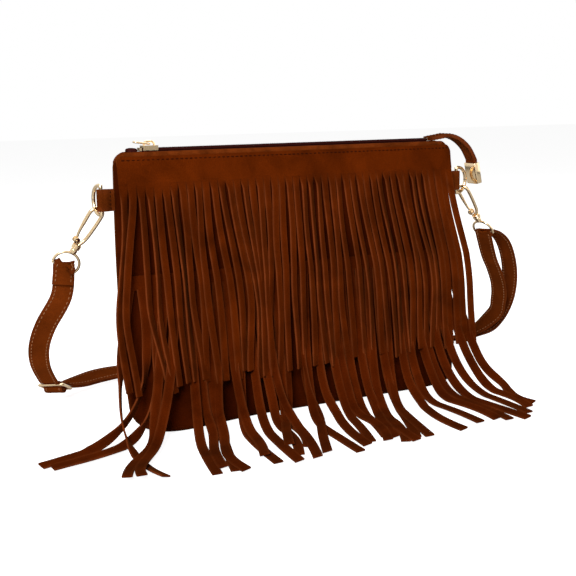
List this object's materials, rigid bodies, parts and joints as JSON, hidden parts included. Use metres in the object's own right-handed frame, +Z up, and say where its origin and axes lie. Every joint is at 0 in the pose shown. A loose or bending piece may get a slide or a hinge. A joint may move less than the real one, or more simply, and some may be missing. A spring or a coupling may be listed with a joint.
{
  "type": "fringed suede bag",
  "caption": "Zip-top suede pouch with two tiers of cut fringe on its front, side D-rings and a clip-on adjustable shoulder strap",
  "frame": {"origin": "on the floor under the middle of the pouch, on the flat foot of its front panel", "axes": "X along the pouch's width with the zip slider's closed end at -X, Y from the fringed front to the back, Z up"},
  "size_m": [0.4581, 0.2751, 0.2009],
  "materials": {
    "suede": "brushed nap, matt",
    "strap_suede": "brushed nap, matt, edges stitched",
    "zip_fabric": "woven tape with a moulded coil",
    "lining_cloth": "plain woven lining",
    "gold_metal": "polished pale gold plating"
  },
  "bodies": {
    "bag": {"front_panel": "suede", "back_panel": "suede", "lining": "lining_cloth", "upper_fringe": "suede", "lower_fringe": "suede", "zip_tape_front": "zip_fabric", "zip_tape_back": "zip_fabric", "zip_coil_front": "zip_fabric", "zip_coil_back": "zip_fabric", "zip_top_stop_front": "gold_metal", "zip_top_stop_back": "gold_metal", "zip_bottom_stop": "gold_metal", "zip_end_tab": "suede", "zip_end_cap": "gold_metal", "left_tab": "suede", "right_tab": "suede", "strap": "strap_suede", "slide_buckle": "gold_metal"},
    "slider": {"zip_slider": "gold_metal"},
    "pull": {"zip_pull": "gold_metal"},
    "left_ring": {"left_dring": "gold_metal"},
    "right_ring": {"right_dring": "gold_metal"},
    "left_strap_eye": {"left_eye": "gold_metal"},
    "right_strap_eye": {"right_eye": "gold_metal"},
    "left_snap_hook": {"left_hook": "gold_metal", "left_gate_pin": "gold_metal"},
    "right_snap_hook": {"right_hook": "gold_metal", "right_gate_pin": "gold_metal"},
    "left_hook_gate": {"left_gate": "gold_metal"},
    "right_hook_gate": {"right_gate": "gold_metal"}
  },
  "joints": [
    {"name": "zip_slide", "type": "slide", "parent": "bag", "child": "slider", "axis": [1, 0, 0], "range_m": [0, 0.2225]},
    {"name": "zip_pull_swing", "type": "hinge", "parent": "slider", "child": "pull", "pos_m": [-0.1117, 0, 0.1981], "axis": [0, 1, 0], "range_deg": [0, 160]},
    {"name": "left_dring_swing", "type": "hinge", "parent": "bag", "child": "left_ring", "pos_m": [-0.1475, 0, 0.161], "axis": [0, 0, 1], "range_deg": [-4, 4]},
    {"name": "right_dring_swing", "type": "hinge", "parent": "bag", "child": "right_ring", "pos_m": [0.1475, 0, 0.161], "axis": [0, 0, 1], "range_deg": [-4, 4]},
    {"name": "left_eye_tilt", "type": "hinge", "parent": "bag", "child": "left_strap_eye", "pos_m": [-0.16904, 0.0231, 0.11436], "axis": [0.8694, -0.0494, -0.4917], "range_deg": [-1, 1.5]},
    {"name": "right_eye_tilt", "type": "hinge", "parent": "bag", "child": "right_strap_eye", "pos_m": [0.18229, 0.00681, 0.11595], "axis": [0.2445, -0.9676, 0.063], "range_deg": [-1, 2.5]},
    {"name": "left_hook_swivel", "type": "hinge", "parent": "left_strap_eye", "child": "left_snap_hook", "pos_m": [-0.1621, 0.01776, 0.12716], "axis": [0.4473, -0.3442, 0.8255], "range_deg": [-15, 15]},
    {"name": "right_hook_swivel", "type": "hinge", "parent": "right_strap_eye", "child": "right_snap_hook", "pos_m": [0.17337, 0.00538, 0.12855], "axis": [-0.575, -0.0924, 0.8129], "range_deg": [-15, 15]},
    {"name": "left_gate_push", "type": "hinge", "parent": "left_snap_hook", "child": "left_hook_gate", "pos_m": [-0.1619, 0.01456, 0.1337], "axis": [-0.1251, 0.8898, 0.4388], "range_deg": [0, 25], "stiffness_Nm_per_rad": 0.01},
    {"name": "right_gate_push", "type": "hinge", "parent": "right_snap_hook", "child": "right_hook_gate", "pos_m": [0.16881, 0.00777, 0.13372], "axis": [0.7799, 0.2384, 0.5788], "range_deg": [0, 25], "stiffness_Nm_per_rad": 0.01}
  ]
}
